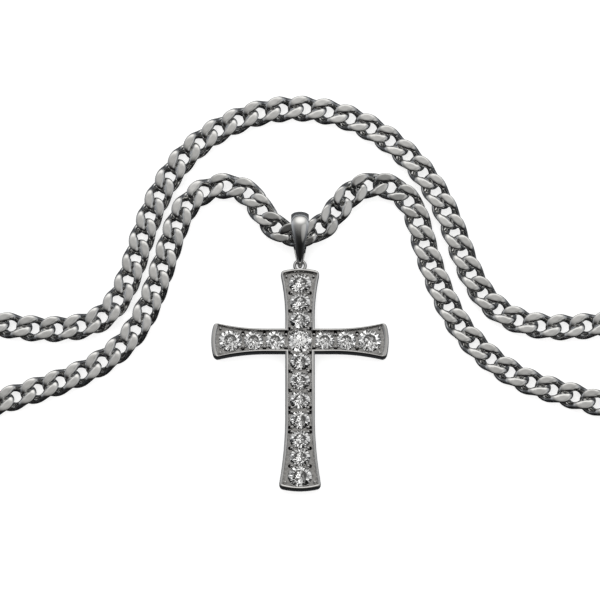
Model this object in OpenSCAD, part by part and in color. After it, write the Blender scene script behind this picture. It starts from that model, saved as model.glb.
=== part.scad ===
/* [Cross] */
// Distance from arm end to arm end
cross_w = 28.3; // [26.5:0.1:36]
// From the middle of the crossing to the top edge
top_reach = 11.84; // [11.6:0.02:16]
// From the middle of the crossing to the foot edge
foot_reach = 24.4; // [24:0.1:32]
// Thickness from the back to the front of the rim
cross_t = 2.5; // [2.4:0.05:4]
// Width of the upright where it is straight
post_w = 4.7; // [4.5:0.1:6.5]
// Height of the crossbeam where it is straight
beam_h = 3.9; // [3.85:0.05:6]
// Width of the flared top end
top_w = 6.4; // [5.6:0.1:9]
// Width of the flared foot
foot_w = 6.8; // [5.6:0.1:10]
// Height of the flared arm ends
arm_h = 5.9; // [4.8:0.1:8]
// Length of the flare at the top
top_flare = 8; // [5:0.1:9]
// Length of the flare at the foot
foot_flare = 12; // [7:0.1:18]
// Length of the flare at each arm end
arm_flare = 8.5; // [5:0.1:11]
// How far each end bows out past its corners
cap_rise = 0.45; // [0.1:0.05:1]
// How far the rounding of each end corner reaches along its two edges
corner_r = 0.7; // [0.3:0.05:1]
// Width of the rim along the upright
post_rim = 0.55; // [0.3:0.05:0.65]
// Width of the rim along the crossbeam
beam_rim = 0.46; // [0.3:0.02:0.48]
// Width of the rim across the top and the foot
foot_rim = 0.5; // [0.3:0.05:0.7]
// Width of the rim across the arm ends
arm_rim = 0.72; // [0.4:0.02:1]
// Depth of the channel that the stones lie in
channel_d = 0.55; // [0.3:0.05:0.9]

/* [Stones] */
// Diameter of the stone at the crossing
centre_d = 3.8; // [3:0.05:4]
// Diameter of the stones along the bars
mid_d = 2.8; // [2.4:0.05:2.85]
// Diameter of the stone in the top end
top_d = 3.1; // [2.6:0.05:3.3]
// Diameter of the stones in the arm ends
arm_d = 3.35; // [2.8:0.05:3.5]
// Diameter of the stone in the foot
foot_d = 3.25; // [2.8:0.05:3.5]
// How far the centre stone's table stands above the rim
centre_proud = 0.12; // [0:0.02:0.5]
// How far the other tables stand above the rim
stone_proud = 0.04; // [0:0.02:0.3]
// Least room between two stones
stone_gap = 0.1; // [0.06:0.01:0.3]
// Clearance between a stone and its seat
seat_clear = 0.05; // [0.03:0.01:0.1]
// Radius of the beads that hold the stones
bead_r = 0.3; // [0.2:0.02:0.34]

/* [Bail] */
// Length of the bail from tip to top
bail_l = 8.85; // [8.8:0.05:11]
// Depth of the bail from back to front
bail_depth = 5.4; // [5.4:0.1:7]
// Width of the bail at its broad end
bail_w = 2.95; // [2:0.05:4]
// Width of the bail at its tip
bail_tip_w = 0.66; // [0.4:0.02:0.7]
// Thickness of the strap at the broad end
bail_wall = 0.7; // [0.5:0.05:0.75]
// Thickness of the strap at the tip
tip_wall = 0.5; // [0.3:0.05:0.5]
// Radius of the ring's wire on the cross
ring_wire_r = 0.25; // [0.2:0.01:0.26]
// Radius of the ring's hole
ring_hole_r = 0.6; // [0.6:0.02:0.9]
// Clearance between the tip of the bail and the ring
ring_clear = 0.25; // [0.15:0.01:0.3]

/* [Chain] */
// Number of link places round the whole chain, with those that the clasp takes
link_places = 121; // [120:1:122]
// Width of the chain
chain_w = 4.1; // [3.7:0.05:4.2]
// Thickness of the chain between its two cut faces
chain_t = 2.04; // [1.9:0.02:2.2]
// Radius of the links' wire
wire_r = 0.52; // [0.4:0.01:0.54]
// How far each end of a link reaches past its neighbour's wire
link_play = 0.25; // [0.15:0.01:0.3]
// How far a link's wire rises and dips from its middle plane
link_wave = 0.92; // [0.88:0.01:1]
// Width of the clasp
clasp_w = 4.4; // [3.6:0.1:6]
// Thickness of the clasp
clasp_t = 1.8; // [1.2:0.1:2]
// Radius of the clasp's corners
clasp_r = 1.2; // [0.4:0.1:1.8]

/* [Hidden] */
// The four rows of stones run from the crossing to the ends: right, top, left and bottom
row_names = ["right", "top", "left", "bottom"];
row_counts = [3, 3, 3, 7];
row_angles = [0, 90, 180, 270];

metal = "gainsboro";
gem = "aliceblue";
flare_steps = 8;
corner_steps = 4;
cap_steps = 4;
belt_steps = 18;
round_sides = 48;
bead_sides = 24;
eps = 0.01;

// Shares of the free length that open between the stones of a row, the last one at its end
row_shares = [
    [0.25, 0.25, 0.25, 0.25],
    [0.15, 0.15, 0.2, 0.5],
    [0.25, 0.25, 0.25, 0.25],
    [0.02, 0.22, 0.22, 0.32, 0.22, 0, 0, 0]
];
// Pairs of beads after each stone of a row, counted from the centre stone
row_beads = [
    [1, 1, 1],
    [1, 1, 1],
    [1, 1, 1],
    [1, 1, 1, 2, 2, 1, 1]
];
bead_twin = 0.36;
bead_inset = 0.5;
// Height of a bead's centre above the channel's floor, as a share of its radius
bead_lift = 0.25;

// Brilliant cut, as shares of the stone's diameter
table_share = 0.57;
star_share = 0.76;
crown_share = 0.15;
pavilion_share = 0.42;
star_drop = 0.42;
lower_share = 0.25;

// Places on the bars
ring_sink = 0.09;
ring_centre_r = ring_hole_r + ring_wire_r;
ring_y = top_reach + ring_centre_r - ring_sink;
ring_z = cross_t / 2;
floor_z = cross_t - channel_d;

// Bail, seen from the side as two circles joined by tangents
tip_hole_r = 0.4;
tip_y = ring_y - ring_hole_r + ring_clear;
bail_top_r = bail_depth / 2;
bail_tip_r = tip_hole_r + tip_wall;
bail_top_centre = [tip_y + bail_l - bail_top_r, bail_top_r];
bail_tip_centre = [tip_y + bail_tip_r, ring_z];
// Half widths of the bail down its length, as shares of its length and of its two widths
bail_shares = [
    [0, 0], [0.09, 0.14], [0.18, 0.3], [0.3, 0.5], [0.42, 0.68],
    [0.56, 0.86], [0.7, 0.97], [0.82, 1], [1, 0.98]
];

// Control points of the chain's route: x, y, lift above the surface, and tilt about the route
chain_route = [
    [-36.4, 2.2, 0, 0], [-31.2, 3.6, 0, 0], [-27.7, 9, 0, 0], [-25.8, 16, 0, 0], [-23.4, 23.4, 0, 0],
    [-19.5, 30.4, 0, 0], [-14, 35.3, 0, 0], [-7.1, 38.5, 0, 0], [0.4, 39.4, 0, 0], [8, 37.8, 0, 0],
    [14.7, 33.8, 0, 0], [20.1, 28.4, 0, 0], [23.8, 21.6, 0, 0], [26.2, 14, 0, 0], [29.2, 7, 0, 0],
    [35, 2.8, 0, 0], [43, 2.2, 0, 0], [51, 3.4, 0, 0], [59, 4.6, 0, 0], [67, 5.8, 0, 0],
    [75, 6.6, 0, 0], [83, 3.4, 0, 0], [86, -5, 0, 0], [82, -13.4, 0, 0], [73, -16.4, 0, 0],
    [63, -15, 0, 0], [53, -11.8, 0, 0], [43.6, -8.8, 0, 0], [35.6, -6.6, 0, 0], [29.6, -2.4, 0, 0],
    [25, 2.9, 0, 0], [22, 9.8, 0, 0], [19.7, 16.5, 0.05, 0], [18.5, 23, 0.05, 1],
    [14.5, 26.3, 0.35, -9], [9.3, 26.1, 0.6, -8], [6.1, 22.1, 1.15, -19], [3.1, 17.6, 1.45, -21],
    [-2.6, 17, 1.4, -16], [-5.9, 20.8, 1, -2], [-8.2, 25.5, 0.5, -6], [-13.7, 26.4, 0.01, 2],
    [-18.4, 23.4, 0.16, 3], [-20.6, 17.2, 0, 0], [-22.9, 9.4, 0, 0], [-25.6, 2.2, 0, 0],
    [-30.4, -2.8, 0, 0], [-36, -5.8, 0, 0], [-43.6, -8.4, 0, 0], [-53, -11.6, 0, 0], [-63, -15, 0, 0],
    [-73, -16.6, 0, 0], [-82, -13.4, 0, 0], [-86, -5, 0, 0], [-83, 3.6, 0, 0], [-75, 7.4, 0, 0],
    [-64.6, 6.8, 0, 0], [-53, 4, 0, 0], [-43, 2, 0, 0]
];
route_steps = 10;
link_stations = 10;
link_sides = 6;
wave_flat = 1.5;
// Link places that the clasp takes, and the one where it starts
clasp_places = 4;
clasp_first = 35;
// The outer strand ends where the far left loop turns back
inner_last = 106;

// Length of a row's stones and the free length left for gaps
function row_reach(row) = row == 1 ? top_reach : row == 3 ? foot_reach : cross_w / 2;
function row_rim(row) = row % 2 == 1 ? foot_rim : arm_rim;
function end_size(row) = row == 1 ? top_d : row == 3 ? foot_d : arm_d;
function row_sizes(row) = [for (k = [1:row_counts[row]]) k == row_counts[row] ? end_size(row) : mid_d];
function total(v, n) = n == 0 ? 0 : v[n - 1] + total(v, n - 1);
function row_free(row) = row_reach(row) - row_rim(row) - centre_d / 2
    - total(row_sizes(row), row_counts[row]) - stone_gap * (row_counts[row] + 1);
// Room before stone k of a row, and that stone's distance from the crossing
function room(row, k) = stone_gap + row_shares[row][k] * row_free(row);
function edge_at(row, k) = k == 0 ? centre_d / 2
    : edge_at(row, k - 1) + room(row, k - 1) + row_sizes(row)[k - 1];
function stone_at(row, k) = edge_at(row, k) - row_sizes(row)[k - 1] / 2;

// One side of a bar from the crossing to the middle of its end, as [along, half width]
function flare(along, length, gain) =
    let (radius = (length * length + gain * gain) / (2 * gain))
    radius - sqrt(radius * radius - along * along);
function bar_side(start, half, end_half, length, reach, corner) =
    let (
        span = length - cap_rise,
        from = reach - length,
        cap_h = end_half - corner,
        edge = [from + span - corner, half + flare(span - corner, span, end_half - half)],
        tip = [reach - cap_rise, end_half],
        cap = [reach - cap_rise * pow(cap_h / end_half, 2), cap_h]
    )
    concat(
        [[start, half]],
        [for (k = [0:flare_steps - 1]) let (s = (span - corner) * k / flare_steps)
            [from + s, half + flare(s, span, end_half - half)]],
        [for (k = [0:corner_steps]) let (t = k / corner_steps)
            edge * pow(1 - t, 2) + tip * 2 * t * (1 - t) + cap * t * t],
        [for (k = [1:cap_steps]) let (h = cap_h * (1 - k / cap_steps))
            [reach - cap_rise * pow(h / end_half, 2), h]]
    );
function mirrored(side) = [for (k = [len(side) - 2:-1:1]) [side[k][0], -side[k][1]]];
function turned(points, angle) = [for (p = points)
    [p[0] * cos(angle) + p[1] * sin(angle), p[0] * sin(angle) - p[1] * cos(angle)]];
// Outline of the cross, drawn in from its edges by the rims where inset is 1
function cross_outline(inset) =
    let (
        post = post_w / 2 - inset * post_rim,
        beam = beam_h / 2 - inset * beam_rim,
        corner = corner_r * (1 - inset) + eps,
        arm_half = arm_h / 2 - inset * beam_rim,
        top_half = top_w / 2 - inset * post_rim,
        foot_half = foot_w / 2 - inset * post_rim,
        arm = bar_side(post, beam, arm_half, arm_flare, cross_w / 2 - inset * arm_rim, corner),
        top = bar_side(beam, post, top_half, top_flare, top_reach - inset * foot_rim, corner),
        foot = bar_side(beam, post, foot_half, foot_flare, foot_reach - inset * foot_rim, corner)
    )
    concat(
        turned(concat(arm, mirrored(arm)), 0), turned(concat(top, mirrored(top)), 90),
        turned(concat(arm, mirrored(arm)), 180), turned(concat(foot, mirrored(foot)), 270)
    );

// The chain's route is a smooth closed curve near its control points
function route_point(i, u) =
    let (
        n = len(chain_route),
        a = chain_route[(i + n - 1) % n],
        b = chain_route[i % n],
        c = chain_route[(i + 1) % n],
        d = chain_route[(i + 2) % n]
    )
    (pow(1 - u, 3) * a + (3 * pow(u, 3) - 6 * u * u + 4) * b
        + (-3 * pow(u, 3) + 3 * u * u + 3 * u + 1) * c + pow(u, 3) * d) / 6;
function place_of(p) = [p[0], p[1], p[2]];
route = [for (i = [0:len(chain_route) - 1]) for (k = [0:route_steps - 1]) route_point(i, k / route_steps)];
route_n = len(route);
function route_gap(i) = norm(place_of(route[(i + 1) % route_n]) - place_of(route[i]));
route_s = [for (i = 0, s = 0; i <= route_n; s = s + route_gap(i % route_n), i = i + 1) s];
route_l = route_s[route_n];
route_tables = [for (j = [0:3]) [for (i = [0:route_n]) [route_s[i], route[i % route_n][j]]]];
pitch = route_l / link_places;
// Middle of link place i: its x, y, height and tilt
function link_place(i) =
    let (s = (i + 0.5) * pitch, at = s - route_l * floor(s / route_l))
    [for (j = [0:3]) lookup(at, route_tables[j])];
function unit(v) = v / norm(v);
// Frame of a chain part between two places, as a matrix
function frame_between(a, b, middle, tilt) =
    let (
        x = unit(place_of(b) - place_of(a)),
        y = unit(cross([0, 0, 1], x)),
        z = cross(x, y),
        y2 = y * cos(tilt) + z * sin(tilt),
        z2 = z * cos(tilt) - y * sin(tilt)
    )
    [for (r = [0:2]) [x[r], y2[r], z2[r], middle[r] + (r == 2 ? chain_t / 2 : 0)]];
function link_frame(i) =
    let (here = link_place(i))
    frame_between(link_place(i - 1), link_place(i + 1), here, here[3]);

// A link is a wire bent to a long loop with round ends, twisted so that its corners rise and dip
link_b = chain_w / 2 - wire_r;
link_a = pitch / 2 + wire_r + link_play;
link_h = link_a - link_b;
link_round = 4 * link_h + 2 * PI * link_b;
function wave(share) =
    let (w = sin(720 * share))
    -link_wave * (wave_flat * w - (wave_flat - 1) * pow(w, 3));
function link_centre(j) =
    let (
        half = link_stations / 2,
        side = floor(j / half),
        angle = -90 + 180 * (j % half) / (half - 1),
        along = link_b * angle * PI / 180 + side * link_round / 2,
        flip = 1 - 2 * side
    )
    [flip * (link_h + link_b * cos(angle)), flip * link_b * sin(angle), wave(along / link_round)];
function link_ring(j) =
    let (
        here = link_centre(j),
        t = unit(link_centre((j + 1) % link_stations) - link_centre((j + link_stations - 1) % link_stations)),
        out = unit([t[1], -t[0], 0]),
        up = cross(out, t) * -1
    )
    [for (k = [0:link_sides - 1])
        let (p = here + wire_r * (cos(360 * k / link_sides) * out + sin(360 * k / link_sides) * up))
        [p[0], p[1], max(-chain_t / 2, min(chain_t / 2, p[2]))]];
link_points = [for (j = [0:link_stations - 1]) each link_ring(j)];
link_faces = [for (j = [0:link_stations - 1]) for (k = [0:link_sides - 1])
    let (
        j2 = (j + 1) % link_stations,
        k2 = (k + 1) % link_sides,
        a = j * link_sides + k,
        b = j * link_sides + k2,
        c = j2 * link_sides + k2,
        d = j2 * link_sides + k
    )
    each [[a, c, b], [a, d, c]]];
function in_clasp(i) = i >= clasp_first && i < clasp_first + clasp_places;

// Brilliant cut stone of diameter 1 with its girdle at height 0
cut_points = concat(
    [for (k = [0:7]) [table_share / 2 * cos(45 * k), table_share / 2 * sin(45 * k), crown_share]],
    [for (k = [0:7]) let (a = 45 * k + 22.5)
        [star_share / 2 * cos(a), star_share / 2 * sin(a), crown_share * (1 - star_drop)]],
    [for (k = [0:15]) [cos(22.5 * k) / 2, sin(22.5 * k) / 2, 0]],
    [for (k = [0:7]) let (a = 45 * k + 22.5)
        [lower_share / 2 * cos(a), lower_share / 2 * sin(a), -pavilion_share * (1 - lower_share)]],
    [[0, 0, -pavilion_share]]
);
cut_faces = concat(
    [[7, 6, 5, 4, 3, 2, 1, 0]],
    [for (k = [0:7]) let (n = (k + 1) % 8, g = 16 + 2 * k, g2 = 16 + (2 * k + 2) % 16, last = (k + 7) % 8)
        each [
            [k, n, 8 + k],
            [k, 8 + k, g], [n, g2, 8 + k],
            [8 + k, g + 1, g], [8 + k, g2, g + 1],
            [32 + k, g, g + 1], [32 + k, g + 1, g2],
            [32 + last, 32 + k, 40], [g, 32 + k, 32 + last]
        ]]
);

module stone(d, proud) {
    color(gem)
        translate([0, 0, cross_t + proud - d * crown_share])
            scale(d)
                polyhedron(points = cut_points, faces = cut_faces, convexity = 2);
}

module row_stone(row, k) {
    rotate(row_angles[row])
        translate([stone_at(row, k), 0, 0])
            stone(row_sizes(row)[k - 1], stone_proud);
}

// Hole that a stone lies in, with room all round it
module seat(d, proud) {
    girdle_z = cross_t + proud - d * crown_share;
    deep = d * pavilion_share + seat_clear;
    radius = d / 2 + seat_clear;
    translate([0, 0, girdle_z])
        cylinder(r = radius, h = cross_t, $fn = round_sides);
    translate([0, 0, girdle_z - deep])
        cylinder(r1 = 0, r2 = radius, h = deep + eps / 2, $fn = round_sides);
}

module bead_pair(at, side) {
    for (s = [-1, 1])
        translate([at, s * side, floor_z + bead_r * bead_lift])
            sphere(r = bead_r, $fn = bead_sides);
}

// Beads between the stones of one row and in the corners of its end
module row_beads_of(row) {
    side_rim = row % 2 == 1 ? post_rim : beam_rim;
    half = (row % 2 == 1 ? post_w : beam_h) / 2 - side_rim - bead_inset;
    end_half = (row == 1 ? top_w : row == 3 ? foot_w : arm_h) / 2 - side_rim - bead_inset;
    for (k = [0:row_counts[row] - 1]) {
        middle = edge_at(row, k) + room(row, k) / 2;
        if (row_beads[row][k] == 2) {
            bead_pair(middle - bead_twin, half);
            bead_pair(middle + bead_twin, half);
        } else
            bead_pair(middle, half);
    }
    bead_pair(row_reach(row) - row_rim(row) - cap_rise - bead_r, end_half);
}

module cross_frame() {
    color(metal) {
        difference() {
            linear_extrude(cross_t)
                polygon(cross_outline(0));
            translate([0, 0, floor_z])
                linear_extrude(cross_t)
                    polygon(cross_outline(1));
            seat(centre_d, centre_proud);
            for (row = [0:3])
                rotate(row_angles[row])
                    for (k = [1:row_counts[row]])
                        translate([stone_at(row, k), 0, 0])
                            seat(row_sizes(row)[k - 1], stone_proud);
        }
        for (row = [0:3])
            rotate(row_angles[row])
                row_beads_of(row);
        translate([0, ring_y, ring_z])
            rotate_extrude($fn = round_sides)
                translate([ring_centre_r, 0])
                    circle(r = ring_wire_r, $fn = bead_sides);
    }
}

// Two arcs joined by their outer tangents, as one outline
function arc(centre, radius, from, to) =
    [for (k = [0:belt_steps]) let (t = from + (to - from) * k / belt_steps)
        centre + radius * [cos(t), sin(t)]];
function belt(c1, r1, c2, r2) =
    let (
        between = c2 - c1,
        turn = atan2(between[1], between[0]),
        lean = acos((r1 - r2) / norm(between))
    )
    concat(arc(c1, r1, turn + lean, turn - lean + 360), arc(c2, r2, turn - lean, turn + lean));

module bail() {
    side = [for (s = bail_shares) [bail_tip_w / 2 + (bail_w - bail_tip_w) / 2 * s[1], tip_y + bail_l * s[0]]];
    color(metal)
        intersection() {
            rotate([90, 0, 90])
                linear_extrude(bail_w, center = true)
                    difference() {
                        polygon(belt(bail_tip_centre, bail_tip_r, bail_top_centre, bail_top_r));
                        polygon(belt(bail_tip_centre, tip_hole_r, bail_top_centre, bail_top_r - bail_wall));
                    }
            linear_extrude(bail_depth)
                polygon(concat(side, [for (k = [len(side) - 1:-1:0]) [-side[k][0], side[k][1]]]));
        }
}

module link() {
    polyhedron(points = link_points, faces = link_faces, convexity = 6);
}

module links(first, last) {
    color(metal)
        for (i = [first:last])
            if (!in_clasp(i % link_places))
                multmatrix(link_frame(i))
                    link();
}

module chain_outer() {
    links(inner_last + 1 - link_places, clasp_first - 1);
}

module chain_inner() {
    links(clasp_first + clasp_places, inner_last);
}

// A plain box clasp, closed, with an eye like half a link at each end
module clasp() {
    last = clasp_first + clasp_places - 1;
    start = link_place(clasp_first);
    finish = link_place(last);
    reach = pitch * (clasp_places - 1) / 2;
    half = reach - wire_r;
    color(metal)
        multmatrix(frame_between(start, finish, (start + finish) / 2, 0)) {
            translate([0, 0, -clasp_t / 2])
                linear_extrude(clasp_t) {
                    square([2 * half, clasp_w - 2 * clasp_r], center = true);
                    square([2 * (half - clasp_r), clasp_w], center = true);
                    for (x = [-1, 1])
                        for (y = [-1, 1])
                            translate([x * (half - clasp_r), y * (clasp_w / 2 - clasp_r)])
                                circle(r = clasp_r, $fn = round_sides);
                }
            for (s = [-1, 1])
                translate([s * reach, 0, 0])
                    link();
        }
}

module stone_centre() {
    stone(centre_d, centre_proud);
}

cross_frame();
bail();
chain_outer();
chain_inner();
clasp();
stone_centre();
for (row = [0:3])
    for (k = [1:row_counts[row]])
        row_stone(row, k);
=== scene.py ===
import math

import bmesh
import bpy
import numpy as np
from mathutils import Matrix, Vector


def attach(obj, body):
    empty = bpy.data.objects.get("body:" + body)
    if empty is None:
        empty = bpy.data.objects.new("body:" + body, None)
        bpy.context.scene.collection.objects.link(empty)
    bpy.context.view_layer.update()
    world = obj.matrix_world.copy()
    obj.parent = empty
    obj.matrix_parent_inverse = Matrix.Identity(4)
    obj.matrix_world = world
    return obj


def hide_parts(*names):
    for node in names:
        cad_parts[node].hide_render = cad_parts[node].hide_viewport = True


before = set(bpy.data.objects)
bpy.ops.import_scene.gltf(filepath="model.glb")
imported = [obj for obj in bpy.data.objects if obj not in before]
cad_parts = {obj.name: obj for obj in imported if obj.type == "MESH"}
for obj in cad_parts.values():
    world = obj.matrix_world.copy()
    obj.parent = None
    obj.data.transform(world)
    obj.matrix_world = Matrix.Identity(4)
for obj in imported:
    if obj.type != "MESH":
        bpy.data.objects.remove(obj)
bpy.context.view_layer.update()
scene = bpy.context.scene
mm = 0.001
print("frame loaded:", len(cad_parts), "nodes")

# the camera stands where the photograph was taken from
view = {
    "mmPerPixel": 0.16,
    "pixels": 600,
    "lens": 300,
    "sensor": 36,
    "elevation": 75,
    "aim": (0.0, 7.0, 1.0),
}


def makeCamera():
    data = bpy.data.cameras.new("photoCamera")
    data.lens = view["lens"]
    data.sensor_width = view["sensor"]
    data.clip_start, data.clip_end = 0.01, 10
    camera = bpy.data.objects.new("photoCamera", data)
    scene.collection.objects.link(camera)
    distance = view["mmPerPixel"] * view["pixels"] * mm * view["lens"] / view["sensor"]
    up = math.radians(view["elevation"])
    back = Vector((0, -math.cos(up), math.sin(up)))
    right = Vector((1, 0, 0))
    spin = Matrix((right, back.cross(right), back)).transposed().to_4x4()
    camera.matrix_world = Matrix.Translation(Vector(view["aim"]) * mm + back * distance) @ spin
    scene.camera = camera


makeCamera()
print("camera placed")


def newObject(name, mesh):
    thing = bpy.data.objects.new(name, mesh)
    scene.collection.objects.link(thing)
    return thing


def meshOf(bm, name):
    mesh = bpy.data.meshes.new(name)
    bm.to_mesh(mesh)
    bm.free()
    return mesh


def plainMesh(thing, name):
    # the evaluated object as a mesh of its own, without the modifiers that made it
    graph = bpy.context.evaluated_depsgraph_get()
    mesh = bpy.data.meshes.new_from_object(thing.evaluated_get(graph))
    mesh.name = name
    return mesh


def drop(*things):
    for thing in things:
        bpy.data.objects.remove(thing, do_unlink=True)


def closedLoops(bm, loops, joined):
    # skins a list of loops with the same number of points; joined closes the last on the first
    rings = [[bm.verts.new(point) for point in loop] for loop in loops]
    pairs = list(zip(rings, rings[1:])) + ([(rings[-1], rings[0])] if joined else [])
    for one, two in pairs:
        count = len(one)
        for k in range(count):
            face = bm.faces.new((one[k], one[(k + 1) % count], two[(k + 1) % count], two[k]))
            face.smooth = True
    return rings


# polished metal: how its fine lines are drawn out and turned, and the limits of its dull clouds
polishing = {
    "drawnOut": (1, 0.22, 1), "turned": (0.2, 0.1, 0.6), "lineDepth": 0.02,
    "cloudLimits": (0.35, 0.7), "tintLimits": (0.3, 0.75),
}
polishKeys = ("Grain Scale", "Cloud Scale", "Bright", "Dull", "Depth")
rangeKeys = ("From Min", "From Max", "To Min", "To Max")


def addNode(tree, kind, place=(0, 0), **values):
    # a value goes to the node's own setting of that name, or else to its input
    node = tree.nodes.new(kind)
    node.location = place
    for key, value in values.items():
        if hasattr(node, key):
            setattr(node, key, value)
        else:
            node.inputs[key].default_value = value
    return node


def polishGroup():
    # fine polishing lines and a soft cloud of duller metal, as masks, roughness and normal
    tree = bpy.data.node_groups.new("handPolish", "ShaderNodeTree")
    sockets = tree.interface
    for name in polishKeys:
        sockets.new_socket(name, in_out="INPUT", socket_type="NodeSocketFloat")
    for name, kind in (("Shine", "Float"), ("Mask", "Float"), ("Normal", "Vector")):
        sockets.new_socket(name, in_out="OUTPUT", socket_type="NodeSocket" + kind)
    inlet = addNode(tree, "NodeGroupInput", (-900, 0))
    outlet = addNode(tree, "NodeGroupOutput", (500, 0))
    where = addNode(tree, "ShaderNodeTexCoord", (-900, -300))
    stretch = addNode(tree, "ShaderNodeMapping", (-700, -300))
    stretch.inputs["Scale"].default_value = polishing["drawnOut"]
    stretch.inputs["Rotation"].default_value = polishing["turned"]
    grain = addNode(tree, "ShaderNodeTexNoise", (-450, -300), Detail=4, Roughness=0.6)
    cloud = addNode(tree, "ShaderNodeTexNoise", (-450, 100), Detail=2, Roughness=0.5)
    spread = addNode(tree, "ShaderNodeMapRange", (-100, 100))
    bump = addNode(tree, "ShaderNodeBump", (200, -300), Distance=polishing["lineDepth"] * mm)
    join = tree.links.new
    join(where.outputs["Object"], stretch.inputs["Vector"])
    join(stretch.outputs["Vector"], grain.inputs["Vector"])
    join(where.outputs["Object"], cloud.inputs["Vector"])
    join(inlet.outputs["Grain Scale"], grain.inputs["Scale"])
    join(inlet.outputs["Cloud Scale"], cloud.inputs["Scale"])
    join(cloud.outputs["Fac"], spread.inputs["Value"])
    for key, value in zip(rangeKeys, polishing["cloudLimits"]):
        spread.inputs[key].default_value = value
    join(inlet.outputs["Bright"], spread.inputs["To Min"])
    join(inlet.outputs["Dull"], spread.inputs["To Max"])
    join(inlet.outputs["Depth"], bump.inputs["Strength"])
    join(grain.outputs["Fac"], bump.inputs["Height"])
    join(spread.outputs["Result"], outlet.inputs["Shine"])
    join(cloud.outputs["Fac"], outlet.inputs["Mask"])
    join(bump.outputs["Normal"], outlet.inputs["Normal"])
    return tree


polish = polishGroup()


def metalMaterial(name, values):
    material = bpy.data.materials.new(name)
    material.use_nodes = True
    tree = material.node_tree
    join = tree.links.new
    shader = tree.nodes["Principled BSDF"]
    shader.inputs["Metallic"].default_value = 1
    group = addNode(tree, "ShaderNodeGroup", (-700, 0), node_tree=polish)
    for key in polishKeys:
        group.inputs[key].default_value = values[key]
    ramp = addNode(tree, "ShaderNodeValToRGB", (-450, 300))
    for element, at, tone in zip(ramp.color_ramp.elements, polishing["tintLimits"], ("low", "high")):
        element.position = at
        element.color = (*values[tone], 1)
    join(group.outputs["Mask"], ramp.inputs["Fac"])
    join(group.outputs["Normal"], shader.inputs["Normal"])
    colour, shine = ramp.outputs["Color"], group.outputs["Shine"]
    if "recessShade" in values:
        # painted shade: the seats, the pits at the cut corners and the flat ground between the stones are
        # darkened by their marked share, mottled by a fine grain, and made rougher
        mark = addNode(tree, "ShaderNodeAttribute", (-900, -400), attribute_name="recessShade")
        where = addNode(tree, "ShaderNodeTexCoord", (-1100, -650))
        grain = addNode(tree, "ShaderNodeTexNoise", (-900, -650), Scale=values["grainScale"], Detail=1)
        spot = addNode(tree, "ShaderNodeMapRange", (-700, -650))
        for key, value in zip(rangeKeys, values["grain"]):
            spot.inputs[key].default_value = value
        both = addNode(tree, "ShaderNodeMath", (-450, -400), operation="MULTIPLY")
        both.use_clamp = True
        join(where.outputs["Object"], grain.inputs["Vector"])
        join(grain.outputs["Fac"], spot.inputs["Value"])
        join(mark.outputs["Fac"], both.inputs[0])
        join(spot.outputs["Result"], both.inputs[1])
        tint = addNode(tree, "ShaderNodeMix", (-200, 200), data_type="RGBA")
        tint.inputs[7].default_value = (*values["recessShade"], 1)
        rough = addNode(tree, "ShaderNodeMix", (-200, -100), data_type="FLOAT")
        rough.inputs[3].default_value = values["recessRough"]
        join(both.outputs["Value"], tint.inputs["Factor"])
        join(mark.outputs["Fac"], rough.inputs["Factor"])
        join(colour, tint.inputs[6])
        join(shine, rough.inputs[2])
        colour, shine = tint.outputs[2], rough.outputs[0]
    join(colour, shader.inputs["Base Color"])
    join(shine, shader.inputs["Roughness"])
    material.diffuse_color = (*values["high"], 1)
    return material


# painted light and shade: the chain, the cross and the bail are one white metal, but the cross's copy is
# painted darker and the bail's painted lighter than the chain's
chainMetal = metalMaterial("whiteMetalChain", {
    "Grain Scale": 1400, "Cloud Scale": 420, "Bright": 0.07, "Dull": 0.14, "Depth": 0.02,
    "low": (0.74, 0.735, 0.72), "high": (0.83, 0.825, 0.81),
})
crossMetalShaded = metalMaterial("whiteMetalCrossShaded", {
    "Grain Scale": 1600, "Cloud Scale": 500, "Bright": 0.08, "Dull": 0.16, "Depth": 0.1,
    "low": (0.69, 0.68, 0.665), "high": (0.79, 0.78, 0.765),
    # the near black colour of the painted shade between the stones, and how rough those faces are
    "recessShade": (0.08, 0.075, 0.068), "recessRough": 0.4, "grainScale": 2600, "grain": (0.4, 0.6, 0.55, 1),
})
bailMetalLit = metalMaterial("whiteMetalBailLit", {
    "Grain Scale": 1500, "Cloud Scale": 450, "Bright": 0.04, "Dull": 0.09, "Depth": 0.08,
    "low": (0.8, 0.795, 0.78), "high": (0.88, 0.875, 0.86),
})

clearStone = {
    "bending": 2.4, "hazeScale": 1500, "low": (0.95, 0.955, 0.96), "high": (1, 1, 1),
    "preview": (0.93, 0.96, 0.98, 0.5),
}


def stoneMaterial():
    material = bpy.data.materials.new("clearStone")
    material.use_nodes = True
    tree = material.node_tree
    join = tree.links.new
    shader = tree.nodes["Principled BSDF"]
    shader.inputs["Transmission Weight"].default_value = 1
    shader.inputs["IOR"].default_value = clearStone["bending"]
    shader.inputs["Roughness"].default_value = 0
    where = addNode(tree, "ShaderNodeTexCoord", (-900, 0))
    haze = addNode(tree, "ShaderNodeTexNoise", (-700, 0), Scale=clearStone["hazeScale"], Detail=3)
    ramp = addNode(tree, "ShaderNodeValToRGB", (-400, 0))
    for element, tone in zip(ramp.color_ramp.elements, ("low", "high")):
        element.color = (*clearStone[tone], 1)
    join(where.outputs["Object"], haze.inputs["Vector"])
    join(haze.outputs["Fac"], ramp.inputs["Fac"])
    join(ramp.outputs["Color"], shader.inputs["Base Color"])
    material.diffuse_color = clearStone["preview"]
    return material


stoneGlass = stoneMaterial()
print("materials made")

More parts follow.
